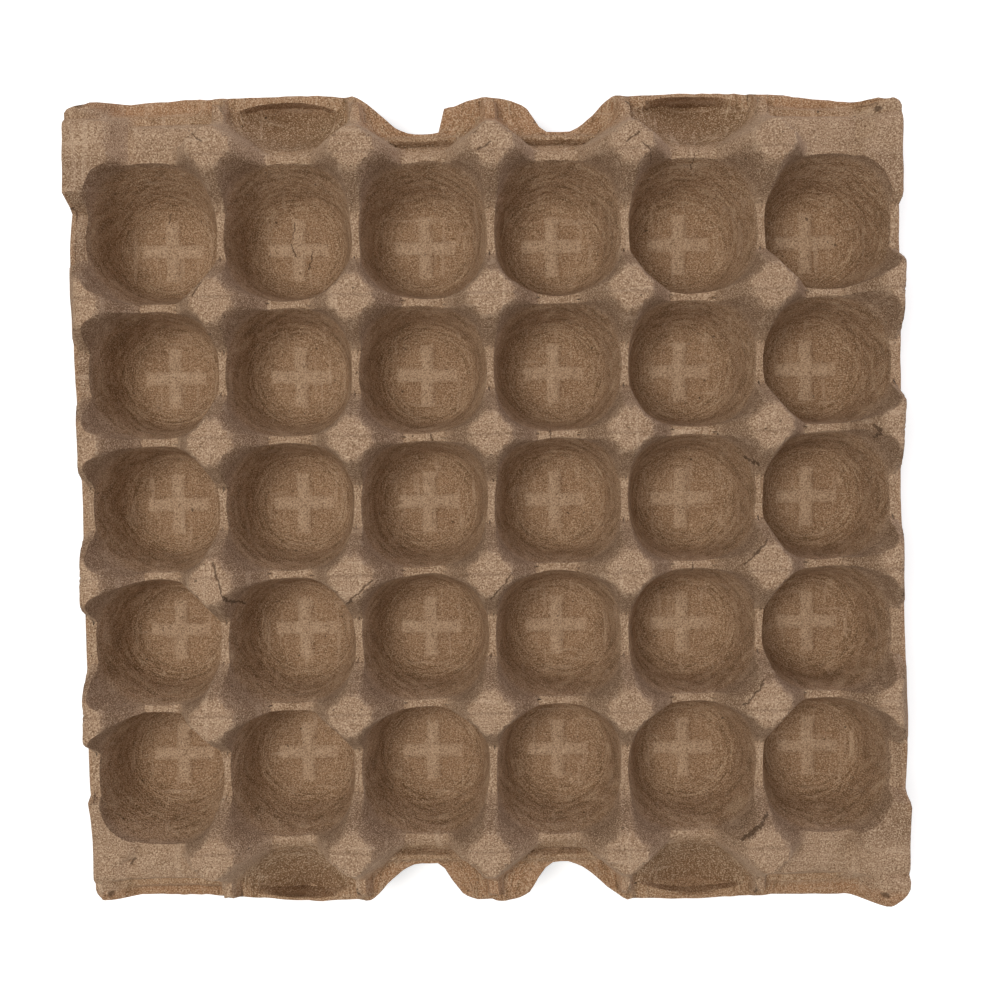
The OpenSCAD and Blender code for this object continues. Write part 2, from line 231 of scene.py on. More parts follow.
def flange_height(x, y):
    """Height of the field of lands, the ridges, the flange plate and what stands on it, without the
    peaks: each form is a plane or a product of cubic steps, joined to the others as the higher or the
    lower of two."""
    ax, ay = np.abs(x), np.abs(y)
    end_z = by_corner(x, y, CORNER_ENDS)
    plate = RIM_Z + corner_rise(x, y)
    ridge = LAND_Z - (ay - RIDGE_Y) * (LAND_Z - RIM_Z) / RIDGE_RUN
    z = higher_of(lower_of(np.full_like(x, LAND_Z), ridge, FOLD_SOFT), plate, FOLD_SOFT)
    shelf = SHELF_RISE * (1.0 - ease(ay, SHELF_END - SHELF_SOFT, SHELF_END + SHELF_SOFT))
    shelf = shelf * ease(ay, SHELF_START, SHELF_START + 1.0)
    z = z + shelf * (1.0 - ease(np.abs(ax - BAY_X), *SHELF_SIDE))
    post_x = np.clip(np.round(x / PITCH), 1 - COLUMNS / 2, COLUMNS / 2 - 1) * PITCH
    crest = np.full_like(x, LAND_Z + POST_RISE)
    crest = lower_of(crest, LAND_Z - (ay - POST_END) / POST_END_RUN, POST_SOFT)
    root = POST_FLANK + POST_FOOT * (1.0 - ease(ay, *POST_FOOT_FADE))
    beside = np.clip(1.0 - (np.abs(x - post_x) - POST_HALF) / root, 0.0, 1.0)
    post = RIM_Z + np.maximum(crest - RIM_Z, 0.0) * beside**2.0
    z = higher_of(z, np.where(ay > EDGE_Y - 2.0, post, 0.0), POST_ROOT_SOFT)
    from_side, from_land = (CORNER_X - ax) / FLANK_RUN, ay - CORNER_LAND_Y
    land = lower_of(CORNER_LAND_Z - from_side, CORNER_LAND_Z - from_land / FLANK_RUN, CORNER_SOFT)
    land = lower_of(land, CORNER_LAND_Z, CORNER_TOP_SOFT)
    land = lower_of(land, CORNER_LAND_Z - (CORNER_LAND_START - ay), CORNER_TOP_SOFT)
    ledge = lower_of(LEDGE_Z - from_side, LEDGE_Z - (ay - LEDGE_Y) / STEP_RUN, LEDGE_SOFT)
    z = higher_of(higher_of(z, land, FOLD_SOFT), lower_of(ledge, LEDGE_Z, FOLD_SOFT), FOLD_SOFT)
    end = PEAK_Z - (np.maximum(EDGE_X - ax, 0.0) - BAND_TOP) / BAND_RUN
    end = lower_of(lower_of(end, end_z, CORNER_SOFT), end_z - from_land / STEP_RUN, END_SOFT)
    end = lower_of(end, end_z - (EDGE_Y - ay) / STEP_RUN, END_SOFT)
    end = lower_of(end, end_z - END_FALL * (END_FROM - ax), END_FALL_SOFT)
    z = higher_of(z, end, FOLD_SOFT)
    valley = np.maximum(np.abs(ax - VALLEY_X) - VALLEY_HALF, np.abs(ay - VALLEY_Y) - VALLEY_LONG)
    z = z - VALLEY_DEEP * (1.0 - ease(valley, -1.0, 4.0))
    z = z - np.where(ax > CORNER_X, LEDGE_FALL * np.maximum(ay - LEDGE_Y, 0.0), 0.0)
    near_pocket = (np.abs(ax - POCKET_X) < PITCH / 2) & (ay > RIDGE_Y - 3)
    z = lower_of(z, np.where(near_pocket, pocket_height(x, y), NOTHING_HERE), POCKET_RIM_SOFT)
    crease = np.maximum(np.abs(ay - RIDGE_Y - RIDGE_RUN) - CREASE_HALF, np.abs(ax - BAY_X) - CREASE_LONG)
    groove = np.maximum(np.abs(ay - LEDGE_Y - GROOVE_SET) - GROOVE_HALF, np.abs(ax - GROOVE_X) - GROOVE_LONG)
    z = z - CREASE_DEEP * (1.0 - ease(crease, 0.0, GROOVE_SOFT))
    z = z - GROOVE_DEEP * (1.0 - ease(groove, 0.0, GROOVE_SOFT))
    pit = np.hypot(ax - DIMPLE_AT, ay - DIMPLE_AT)
    return z - DIMPLE_DEEP * (1.0 - ease(pit, DIMPLE_FLAT, DIMPLE_R))


def soft_noise(x, y, size, seed):
    """Smooth noise from -1 to 1: random numbers on a square grid of that size, blended with cubic steps."""
    cells = 128
    grid = np.random.default_rng(seed).uniform(-1.0, 1.0, (cells, cells))
    gx, gy = x / size + 61.3, y / size + 57.7
    i, j = np.floor(gx).astype(int), np.floor(gy).astype(int)
    u, v = ease(gx - i, 0.0, 1.0), ease(gy - j, 0.0, 1.0)
    i, j, next_i, next_j = i % cells, j % cells, (i + 1) % cells, (j + 1) % cells
    low = grid[i, j] * (1 - u) + grid[next_i, j] * u
    high = grid[i, next_j] * (1 - u) + grid[next_i, next_j] * u
    return low * (1 - v) + high * v


def rim_outline(x, y):
    """Distance of the flange's outer edge from the middle: the plain outline less the finger bays, which
    come and go in cubic steps on both sides of the middle tongue, less the ragged set-back of each
    corner."""
    ax = np.abs(x)
    torn = (x < 0) & (y > 0)
    bay = ease(ax, *(np.where(torn, ragged, whole) for ragged, whole in zip(BAY_TORN, BAY_INNER)))
    bay = bay * (1.0 - ease(ax, *BAY_OUTER))
    tongue = np.where(y > 0, TONGUE_SET, 0.0) * (1.0 - ease(ax, *TONGUE_FADE))
    tongue = tongue + TONGUE_CROWN * ax**2 * (1.0 - ease(ax, *TONGUE_TIP))
    tip = ease(ax, *SET_BACK_TIP)
    back = by_corner(x, y, [even + growth * ease(ax, start, end) + at_tip * tip
                            for even, start, end, growth, at_tip in SET_BACKS])
    ragged = RAGGED * (1.0 + soft_noise(x, y, 3.0, 11))
    ragged = ragged + RAGGED * ease(ax, *RAGGED_ENDS) * (1.0 + soft_noise(x, y, 7.0, 12))
    return OUTLINE - np.maximum((OUTLINE - BAY_BOTTOM) * bay, np.maximum(back, tongue)) - ragged


# The sheet as one mesh
# The upper skin is laid out on lines that follow the forms: a square grid on each cup floor, rings up its
# wall and out over the peaks, and strips along the rim. The lower skin is the same sheet set in by the wall.
# The moulded form dried free: its corners bent, its outer cups spread and the whole sheet took slow waves.
HALF_STOPS = np.array([0.0, 2.8, 5.4, 8.0, 9.9, 11.7, 13.4, 15.2, 17.0, 19.0, 20.9, 22.3, 24.0])
SIDE_STOPS = np.r_[-HALF_STOPS[:0:-1], HALF_STOPS]
RIM_STOPS_X = np.array([144.0, 144.6, 145.2, 145.8, 146.3, 146.8, 147.1, 147.3, 147.5])
RIM_STOPS_Y = np.array([120.0, 121.0, 122.0, 123.0, 124.3, 125.6, 126.5, 127.2, 128.0, 130.0, 132.0, 134.2,
                        136.5, 139.0, 141.8, 144.0, 144.6, 145.7, 147.1, 147.3, 147.5])
RIM_EDGE = 147.1
FLAT_ROW = 127.2
ROUND_TURNS = np.radians([15.0, 37.0, 59.0])
WALL_SHARES = np.array([0.0, 0.3, 0.6, 0.88, 1.0])
MID_RINGS, HIGH_RINGS = 4, 6
MOUTH_EDGE, SQUARE_GAP = 0.3, 0.5
SIDE_WAVE, SIDE_TORN, SIDE_WORN = 0.25, 2.0, 0.8
SIDE_LIFT, LIFT_RUN, LIFT_FADE, LIFT_FROM = 6.0, 80.0, (85.0, 125.0), 139.0
LIP_RISE_SHARE, LIP_ROUND, LIP_ROUND_FROM = 0.25, 0.4, 146.2
LEAN_X, LEAN_Y, LEAN_FADE = 0.016, 0.015, (90.0, 116.0)
SPREAD_TOP, SPREAD_LOW, SPREAD_LOW_LEFT = 2.6, 1.0, 1.6
LOWER_HALF = 23.7
SHARP_ANGLE = 44.0


def grid_quads(count, rows, columns):
    """Corner numbers of the quads of count grids of rows x columns points that follow each other."""
    one = (np.arange(rows - 1)[:, None] * columns + np.arange(columns - 1)).ravel()
    quads = np.stack([one, one + 1, one + columns + 1, one + columns], 1)
    return (quads[None] + (np.arange(count) * rows * columns)[:, None, None]).reshape(-1, 4)


def plan_key(plan):
    """One whole number for each place in plan, counted in thousandths of a millimetre."""
    count = np.round((plan + 500.0003) * 1000).astype(np.int64)
    return count[:, 0] * 10_000_000 + count[:, 1]


def cup_middles():
    """Middles of the columns and of the rows of cups."""
    column = (np.arange(COLUMNS) - (COLUMNS - 1) / 2) * PITCH
    row = (np.arange(ROWS) - (ROWS - 1) / 2) * PITCH
    return column, row


def sheet_plan(step):
    """Points of the sheet in plan and its quads, with every step-th line of the layout. Floors: a square
    pressed into a disc (x = u sqrt(1 - v v / 2)). Walls: rays from the disc to the cup's square, with
    stops at the round, up the wall, at the foot and top of the peak flank and at the square."""
    col, row = cup_middles()
    middles = np.stack(np.meshgrid(col, row), -1).reshape(-1, 1, 1, 2)
    stops = SIDE_STOPS[::step]
    pressed = stops / np.hypot(stops, PITCH / 2) * np.sqrt(2.0)
    u, v = np.meshgrid(pressed, pressed)
    floor = np.stack([u * np.sqrt(1 - v * v / 2), v * np.sqrt(1 - u * u / 2)], -1) * ROUND_R
    floors = middles + floor[None]
    side, far = stops[:-1], np.full(len(stops) - 1, PITCH / 2)
    sides = ((far, side), (-side, far), (-far, -side), (side, -far))
    square = np.concatenate([np.stack(p, -1) for p in sides])
    square = np.r_[square, square[:1]]
    reach = np.hypot(square[:, 0], square[:, 1])
    way = square / reach[:, None]
    at_x, at_y = (middles[:, 0, 0, axis : axis + 1] * np.sign(square[:, axis]) for axis in (0, 1))
    side_cup, end_cup = at_x > EDGE_X - PITCH, at_y > EDGE_Y - PITCH
    peak_x = np.where(side_cup, HALF_PEAK_X - (EDGE_X - PITCH / 2), PITCH / 2)
    peak_y = np.where(end_cup, EDGE_PEAK_Y - (EDGE_Y - PITCH / 2), PITCH / 2)
    to_top = (peak_x + peak_y - PEAK_TOP) / np.abs(way).sum(1)
    to_top = np.where(side_cup & end_cup, PITCH, to_top)
    mouth = CUP_R / (np.abs(way) ** CUP_SQUARE).sum(1) ** (1.0 / CUP_SQUARE)
    edge = np.minimum(np.minimum(mouth * (1.0 + MOUTH_EDGE / CUP_R), to_top), reach - SQUARE_GAP)[:, None]
    flank = (PEAK_Z - LAND_Z) / CUP_FLANK_STEEP / np.abs(way).sum(1)
    wall = np.minimum(mouth, to_top - flank)[:, None]
    round_part = np.r_[ROUND_R, ROUND_R + CUP_ROUND * np.sin(ROUND_TURNS)][:, None]
    round_part = np.broadcast_to(round_part, (len(middles), len(round_part), len(reach)))
    wall_part = WALL_R + (wall - WALL_R) * WALL_SHARES[:, None]
    mid, high = (np.arange(1, n + 1)[:, None] / n for n in (MID_RINGS, HIGH_RINGS))
    parts = [round_part, wall_part, wall + (edge - wall) * mid, edge + (reach - edge) * high]
    rings = np.concatenate(parts, 1)[:, ::step]
    walls = middles + rings[..., None] * way
    stops_x = (col[:, None] + stops[:-1]).ravel()
    stops_x = np.r_[-RIM_STOPS_X[:0:-step], stops_x, RIM_STOPS_X[::step]]
    stops_y = np.r_[(row[:, None] + stops[:-1]).ravel(), EDGE_Y]
    strips = [np.stack(np.meshgrid(stops_x, y), -1) for y in (RIM_STOPS_Y[::step], -RIM_STOPS_Y[::-step])]
    strips += [np.stack(np.meshgrid(x, stops_y), -1) for x in (RIM_STOPS_X[::step], -RIM_STOPS_X[::-step])]
    patches = [floors, walls] + [s[None] for s in strips]
    quads, start = [], 0
    for p in patches:
        quads.append(grid_quads(*p.shape[:3]) + start)
        start += p.shape[0] * p.shape[1] * p.shape[2]
    points = np.concatenate([p.reshape(-1, 2) for p in patches])
    _, first, back = np.unique(plan_key(points), return_index=True, return_inverse=True)
    points, quads = points[first], back[np.concatenate(quads)]
    a, b = points[quads[:, 2]] - points[quads[:, 0]], points[quads[:, 3]] - points[quads[:, 1]]
    turned = a[:, 0] * b[:, 1] - a[:, 1] * b[:, 0] < 0
    quads[turned] = quads[turned][:, ::-1]
    return points, quads


def sheet_bend(plan):
    """Moves the layout's straight lines onto the outline: round corners, finger bays, and rows along the
    arcs of the pockets. Beyond the flat row a point goes in proportion from that row to the outline."""
    x, y = plan[:, 0], plan[:, 1]
    ax, ay = np.abs(x), np.abs(y)
    dx = np.minimum(np.abs(ax - POCKET_X), PITCH / 2)
    arc = POCKET_END - POCKET_ARC + np.sqrt(POCKET_ARC**2 - np.minimum(dx, POCKET_HALF) ** 2)
    arc = POCKET_END + (arc - POCKET_END) * (1.0 - ease(dx, POCKET_HALF, PITCH / 2))
    in_front = FLAT_ROW + (ay - FLAT_ROW) * (arc - FLAT_ROW) / (POCKET_END - FLAT_ROW)
    behind = arc + (ay - POCKET_END) * (OUTLINE - arc) / (OUTLINE - POCKET_END)
    pocket = (np.abs(ax - POCKET_X) < PITCH / 2) & (ay > FLAT_ROW)
    new_y = np.where(pocket, np.where(ay < POCKET_END, in_front, behind), ay)
    cx, cy = ax - (OUTLINE - CORNER_R), ay - (OUTLINE - CORNER_R)
    rounded = (cx > 0) & (cy > 0)
    pull = np.where(rounded, np.maximum(cx, cy) / np.maximum(np.hypot(cx, cy), 1e-6), 1.0)
    new_x = np.where(rounded, np.sign(x) * (OUTLINE - CORNER_R + cx * pull), x)
    new_y = np.where(rounded, OUTLINE - CORNER_R + cy * pull, new_y)
    share = np.clip((new_y - FLAT_ROW) / (OUTLINE - FLAT_ROW), 0.0, 1.0)
    set_back = OUTLINE - rim_outline(new_x, y)
    new_y = new_y - set_back * np.where(pocket | (ax > PITCH * 2), share**3, share)
    worn = np.where(x < 0, SIDE_TORN * ease(-y, 95.0, 125.0), SIDE_WORN * ease(y, 60.0, 100.0))
    wavy = SIDE_WAVE * (1.0 + soft_noise(x, y, 8.0, 13)) + worn
    new_x = new_x - np.sign(x) * wavy * ease(ax, 141.0, OUTLINE)
    return new_x, np.sign(y) * new_y


def sheet_height(x, y):
    """Height of the upper face: the cups, which also cut the peaks' flanks, sunk into the higher of
    flange and peaks, all under the side slopes."""
    dx, dy, top = peak_offsets(x, y)
    deck = higher_of(flange_height(x, y), peak_height(dx, dy, top), TOP_SOFT)
    deck = np.where(np.abs(y) < EDGE_Y - 16.0, lower_of(deck, side_slope(x), 1.0), deck)
    flank = np.where(top < PEAK_Z, 0.0, PEAK_Z - (dx + dy - PEAK_TOP) * CUP_FLANK_STEEP)
    cup = higher_of(cup_height(x, y), flank, 1.0)
    return lower_of(deck, np.where(np.abs(y) < EDGE_Y + 0.01, cup, NOTHING_HERE), TOP_SOFT)


def sheet_points(plan):
    """Places of the upper skin's points: bent in plan, raised to the height, turned down at the lip, and
    moved by the lean, the slow waves and the small unevenness of a sheet that dried free of its mould."""
    held = np.clip(plan, -RIM_EDGE, RIM_EDGE)
    z = sheet_height(*sheet_bend(held))
    lift = np.clip(-plan[:, 0] * plan[:, 1] / (OUTLINE * LIFT_RUN), 0.0, 1.0)
    lift = lift * (1.0 - ease(np.abs(plan[:, 1]), *LIFT_FADE))
    z = z + SIDE_LIFT * lift * ease(np.abs(plan[:, 0]), LIFT_FROM, OUTLINE)
    x, y = sheet_bend(plan)
    over = np.abs(plan).max(1)
    bay = (np.abs(plan[:, 0]) < PITCH) & (np.abs(plan[:, 1]) > EDGE_Y)
    across = np.abs(np.abs(plan[:, 0]) - BAY_X)
    foot = RIM_Z - LIP_DROP + (LIP_DROP - WALL) * np.where(bay, 1.0 - ease(across, 13.0, 19.0), 0.0)
    foot = foot + LIP_RISE_SHARE * corner_rise(x, y)
    z = z - LIP_ROUND * ease(over, LIP_ROUND_FROM, RIM_EDGE)
    z = z + (foot - z) * np.clip((over - RIM_EDGE) / (OUTLINE - RIM_EDGE), 0.0, 1.0)
    high = ease(z, 3.0, 20.0)
    inward = 1.0 - ease(np.maximum(np.abs(x), np.abs(y)), 138.0, OUTLINE)
    lean = ease(z, 6.0, PEAK_Z)
    wave_x = 0.5 * soft_noise(x, y, 30.0, 1) + 0.35 * soft_noise(x, y, 9.0, 2)
    wave_y = 0.5 * soft_noise(x, y, 30.0, 3) + 0.35 * soft_noise(x, y, 9.0, 4)
    wave_z = 0.35 * soft_noise(x, y, 22.0, 5) + 0.3 * soft_noise(x, y, 6.0, 6) - 0.4
    move_x = lean * LEAN_X * y + high * wave_x
    move_y = lean * LEAN_Y * x * (1.0 - ease(np.abs(y), *LEAN_FADE)) + high * wave_y
    low_spread = SPREAD_LOW + SPREAD_LOW_LEFT * ease(-x, 84.0, 108.0)
    spread = np.where(y > 0, SPREAD_TOP, low_spread) * ease(z, 8.0, 27.0)
    rim_cup = ease(np.abs(y), 96.0, 115.0) * (1.0 - ease(np.abs(y), 121.5, 135.0))
    move_y = move_y + np.sign(y) * spread * rim_cup
    z = z + high * wave_z + (1.0 - high) * (0.15 + 0.15 * soft_noise(x, y, 5.0, 7))
    return np.stack([x + inward * move_x, y + inward * move_y, z], 1)


def sheet_marks(plan):
    """Shares from 0 to 1 that colour the pulp: the upper face, the pressed outer bands and the pockets, whose
    share carries painted shade.
    """
    x, y = sheet_bend(plan)
    ax, ay = np.abs(x), np.abs(y)
    side = 0.45 * ease(ax, 144.5, 146.5) * (1.0 - ease(ay, 108.0, 116.0))
    bay = ease(ay, SHELF_END, SHELF_END + 1.5) * (1.0 - ease(ax, 44.0, 50.0))
    band = ease(ay, LEDGE_Y, LEDGE_Y + 1.5) * ease(ax, 96.0, 99.0)
    inner = np.hypot(ax - POCKET_X, ay - (POCKET_START + POCKET_INNER)) - POCKET_INNER
    outer = np.hypot(ax - POCKET_X, ay - (POCKET_END - POCKET_ARC)) - POCKET_ARC
    # Painted shade: this share darkens and reddens the pocket's floor as the shade in the recess.
    pocket = (1.0 - ease(outer, -0.5, 0.2)) * (1.0 - ease(inner, -4.0, 0.0))
    lens_rim = 0.4 * ease(outer, 0.0, 1.0) * ease(ay, 138.0, 141.0)
    edge = np.maximum(np.maximum(side, bay), np.maximum(band, lens_rim))
    return {"upper": np.ones_like(x), "edge": edge, "pocket": pocket}


def point_normals(points, quads):
    """Unit normals of a mesh's points: the sum of the crossed diagonals of the quads round each."""
    crossed = np.cross(points[quads[:, 2]] - points[quads[:, 0]], points[quads[:, 3]] - points[quads[:, 1]])
    total = np.zeros_like(points)
    for corner in range(4):
        for axis in range(3):
            total[:, axis] += np.bincount(quads[:, corner], crossed[:, axis], len(points))
    return total / np.maximum(np.linalg.norm(total, axis=1, keepdims=True), 1e-9)


def rim_loop(plan, step):
    """Numbers of the points on the sheet's outer edge, once round against the clock from the +X, -Y
    corner."""
    col, row = cup_middles()
    stops = SIDE_STOPS[:-1:step]
    run_x = np.r_[-RIM_STOPS_X[:0:-step], (col[:, None] + stops).ravel(), RIM_STOPS_X[::step]]
    run_y = np.r_[-RIM_STOPS_Y[:0:-step], (row[:, None] + stops).ravel(), RIM_STOPS_Y[::step]]
    edge_x, edge_y = np.full(len(run_y) - 1, OUTLINE), np.full(len(run_x) - 1, OUTLINE)
    sides = ((edge_x, run_y[:-1]), (run_x[:0:-1], edge_y), (-edge_x, run_y[:0:-1]), (run_x[:-1], -edge_y))
    return find_points(plan, np.concatenate([np.stack(p, 1) for p in sides]))


def find_points(plan, wanted):
    """Numbers, in the plan, of the points that lie at the wanted places."""
    have = plan_key(plan)
    order = np.argsort(have)
    return order[np.searchsorted(have, plan_key(wanted), sorter=order)]


upper_plan, upper_quads = sheet_plan(1)
lower_plan, lower_quads = sheet_plan(2)
upper = sheet_points(upper_plan)
above = find_points(upper_plan, lower_plan)
lower = upper[above] - WALL * point_normals(upper, upper_quads)[above]
mid_x, mid_y = cup_middle(lower_plan[:, 0], lower_plan[:, 1])
inside = np.maximum(np.abs(lower_plan[:, 0] - mid_x), np.abs(lower_plan[:, 1] - mid_y)) < PITCH / 2 - 0.01
moved = upper[above][:, :2] - np.stack(sheet_bend(lower_plan), 1)
mids = np.stack([mid_x, mid_y], 1) + moved
held_in = np.clip(lower[:, :2], mids - LOWER_HALF, mids + LOWER_HALF)
lower[:, :2] = np.where(inside[:, None], held_in, lower[:, :2])
lower[:, 2] = np.maximum(lower[:, 2], 0.0)
outer, under = rim_loop(upper_plan, 1), rim_loop(lower_plan, 2) + len(upper)
next_outer, next_under = np.roll(outer, -1), np.roll(under, -1)
lip = np.concatenate([
    np.stack([outer[::2], under, next_outer[::2]], 1),
    np.stack([next_outer[::2], under, next_under], 1),
    np.stack([next_outer[::2], next_under, next_outer[1::2]], 1),
])
points = np.concatenate([upper, lower]) / 1000.0
points = np.clip(points, np.array(cad_box[0]), np.array(cad_box[1]))
faces = upper_quads.tolist() + (lower_quads[:, ::-1] + len(upper)).tolist() + lip.tolist()
mesh = bpy.data.meshes.new("pulp_sheet")
mesh.from_pydata(points.tolist(), [], faces)
mesh.polygons.foreach_set("use_smooth", np.ones(len(faces), dtype=bool))
for name, share in sheet_marks(upper_plan).items():
    mark = mesh.attributes.new(name, "FLOAT", "POINT")
    mark.data.foreach_set("value", np.r_[share, np.zeros(len(lower))].astype(np.float32))
mesh.validate()
mesh.update()
mesh.set_sharp_from_angle(angle=np.radians(SHARP_ANGLE))
sheet = bpy.data.objects.new("pulp_sheet", mesh)
bpy.context.scene.collection.objects.link(sheet)

# The pulp
# Grey-brown recycled paper pulp, dried rough: a strong grain with fibres and dark specks, drawn in fine rings
# round the cup walls and redder on the pressed outer bands. Its colour also carries painted light: paler tops
# above the lands and paler cross arms, and painted shade on the peak flanks, in the pockets, on the cup
# floors, in the corner dimples and along a line across each peak top.
pulp = bpy.data.materials.new("moulded_pulp")
pulp.use_nodes = True
tree = pulp.node_tree
nodes, links = tree.nodes, tree.links
shader = nodes["Principled BSDF"]
place = nodes.new("ShaderNodeTexCoord").outputs["Object"]
MM = 0.001


def worked(kind, a, b):
    """One step of arithmetic on two values."""
    node = nodes.new("ShaderNodeMath")
    node.operation = kind
    for socket, value in zip(node.inputs, (a, b)):
        if isinstance(value, bpy.types.NodeSocket):
            links.new(value, socket)
        else:
            socket.default_value = value
    return node.outputs["Value"]


def pulp_noise(scale, detail, stretch=(1.0, 1.0, 1.0), turn=0.0, roughness=0.6, at=place):
    """Noise on the object's own coordinates, stretched along a turned direction."""
    mapping = nodes.new("ShaderNodeMapping")
    mapping.inputs["Scale"].default_value = stretch
    mapping.inputs["Rotation"].default_value = (turn * 0.7, turn * 0.4, turn)
    links.new(at, mapping.inputs["Vector"])
    noise = nodes.new("ShaderNodeTexNoise")
    noise.inputs["Scale"].default_value = scale
    noise.inputs["Detail"].default_value = detail
    noise.inputs["Roughness"].default_value = roughness
    links.new(mapping.outputs["Vector"], noise.inputs["Vector"])
    return noise.outputs["Fac"]


def ranged(value, low, high, to_low=0.0, to_high=1.0, kind="LINEAR"):
    """The value carried from one range to another and held inside it."""
    node = nodes.new("ShaderNodeMapRange")
    node.interpolation_type = kind
    for socket, number in zip(("From Min", "From Max", "To Min", "To Max"), (low, high, to_low, to_high)):
        node.inputs[socket].default_value = number
    links.new(value, node.inputs["Value"])
    return node.outputs["Result"]


def blended(base, colour, share):
    """The base colour mixed towards another by a mask."""
    node = nodes.new("ShaderNodeMix")
    node.data_type = "RGBA"
    for socket, value in (("Factor_Float", share), ("A_Color", base), ("B_Color", colour)):
        target = next(s for s in node.inputs if s.identifier == socket)
        if isinstance(value, bpy.types.NodeSocket):
            links.new(value, target)
        else:
            target.default_value = value
    return next(s for s in node.outputs if s.identifier == "Result_Color")


def marked(name, output="Fac"):
    """What the mesh carries at its points or face corners under a name."""
    node = nodes.new("ShaderNodeAttribute")
    node.attribute_name = name
    return node.outputs[output]


def joined(x, y, z):
    """Vector of three values."""
    node = nodes.new("ShaderNodeCombineXYZ")
    for socket, value in zip(node.inputs, (x, y, z)):
        if isinstance(value, bpy.types.NodeSocket):
            links.new(value, socket)
        else:
            socket.default_value = value
    return node.outputs["Vector"]


# Cracks in plan in mm, as start x, start y, end x, end y and half width, and specks as x, y and half width;
# the last four specks, wide ones at the corner dimples, are painted shade in the dimples.
CRACKS = ((-100, 132, -100, 127.5, 0.5), (-100, 127.5, -96.5, 124, 0.5), (-73.5, 106.5, -74, 100.5, 0.4),
          (-75, 98.5, -73, 93.5, 0.5), (-66.5, 95.5, -68.5, 89, 0.4), (-120, 110, -121.5, 106.5, 0.4),
          (-97.5, 76.5, -100.5, 72.5, 0.6), (-95.5, -18.5, -91, -36, 0.6), (-50.5, -34, -41, -25.5, 0.6),
          (-0.5, -33, 6.5, -24.5, 0.5), (87, -22, 95, -13.5, 0.5), (86.5, -70.5, 93.5, -62, 0.5),
          (85.5, -118, 95.5, -110, 0.7), (91, 15.5, 94.5, 12, 0.5), (132.5, 25.5, 135, 21.5, 0.6),
          (-3, 120, 1.5, 122.5, 0.5), (48, 122.5, 52, 125.5, 0.5), (53, 122, 57, 118, 0.4),
          (-21.5, 25, -21, 22.5, 0.4), (21.5, 26, 21.5, 23, 0.4), (72, -22.5, 72.5, -26, 0.4),
          (73.5, 122.5, 73.5, 119.5, 0.4), (-147, -30, -146.5, -38, 1.4), (-147.5, 105, -145, 105.5, 0.6),
          (-132, -129, -130.5, -127, 0.8))
SPECKS_AND_DIMPLE_SHADE = ((-115, -2, 0.9), (-33.5, 42, 0.8), (-15, -8, 0.7), (29, -5, 0.7), (76, 14.5, 0.8),
          (81.5, 44.5, 0.7), (84.5, 60.5, 0.7), (120.5, 105, 1.0), (131.5, 95, 1.0), (94, 24.5, 0.6),
          (99, 27, 0.6), (-80, 106.5, 0.7), (79, -143, 1.1), (94, -142.5, 1.2), (-141, 140, 2.0),
          (138, 137, 2.0), (138, -141, 2.0), (-140, -140, 2.0))
MARK_SHARE = 0.8
WANDER = 1.2
split = nodes.new("ShaderNodeSeparateXYZ")
links.new(place, split.inputs["Vector"])
at_x, at_y, at_z = (split.outputs[axis] for axis in "XYZ")
shake_x, shake_y = pulp_noise(420.0, 3.0), pulp_noise(420.0, 3.0, turn=2.1)
wander_x, wander_y = (ranged(shake, 0.0, 1.0, -WANDER * MM, WANDER * MM) for shake in (shake_x, shake_y))
rough_x, rough_y = worked("ADD", at_x, wander_x), worked("ADD", at_y, wander_y)


def nearest_mark(stretches):
    """Where each face corner lies against the mark nearest to its face: the way along it from its middle,
    the way across it and its half length; and that mark's half width. A mark is straight, so both ways
    are linear in plan and stay exact between the corners."""
    start, end, width = stretches[:, 0:2], stretches[:, 2:4], stretches[:, 4]
    half = np.linalg.norm(end - start, axis=1) / 2
    way = (end - start) / (2 * half[:, None])

    def ways(places, mark):
        off = places - (start[mark] + end[mark]) / 2
        return (off * way[mark]).sum(-1), off[:, 1] * way[mark][..., 0] - off[:, 0] * way[mark][..., 1]

    corner = np.empty(len(mesh.loops), dtype=np.int32)
    mesh.loops.foreach_get("vertex_index", corner)
    count = np.empty(len(mesh.polygons), dtype=np.int32)
    mesh.polygons.foreach_get("loop_total", count)
    face = np.repeat(np.arange(len(count)), count)
    places = points[corner, :2]
    middle = np.stack([np.bincount(face, places[:, axis]) / count for axis in (0, 1)], 1)
    nearest, gap = np.zeros(len(count), dtype=int), np.full(len(count), np.inf)
    for mark in range(len(stretches)):
        along, across = ways(middle, mark)
        away = np.hypot(np.maximum(np.abs(along) - half[mark], 0.0), across) - width[mark]
        nearest = np.where(away < gap, mark, nearest)
        gap = np.minimum(away, gap)
    along, across = ways(places, nearest[face])
    return np.stack([along, across, half[nearest[face]]], 1), width[nearest[face]]


upper_face = marked("upper")
stretches = list(CRACKS) + [(x - 0.1, y, x + 0.1, y, width) for x, y, width in SPECKS_AND_DIMPLE_SHADE]
against_mark, mark_width = nearest_mark(np.array(stretches) * MM)
carried = mesh.attributes.new("against_mark", "FLOAT_VECTOR", "CORNER")
carried.data.foreach_set("vector", against_mark.astype(np.float32).ravel())
carried = mesh.attributes.new("mark_width", "FLOAT", "CORNER")
carried.data.foreach_set("value", mark_width.astype(np.float32))
mark_split = nodes.new("ShaderNodeSeparateXYZ")
links.new(marked("against_mark", "Vector"), mark_split.inputs["Vector"])
along, across, half_length = (mark_split.outputs[axis] for axis in "XYZ")
past_end = worked("SUBTRACT", worked("ABSOLUTE", worked("ADD", along, wander_x), 0.0), half_length)
past_end = worked("MAXIMUM", past_end, 0.0)
beside = worked("ADD", across, wander_y)
away = worked("ADD", worked("MULTIPLY", past_end, past_end), worked("MULTIPLY", beside, beside))
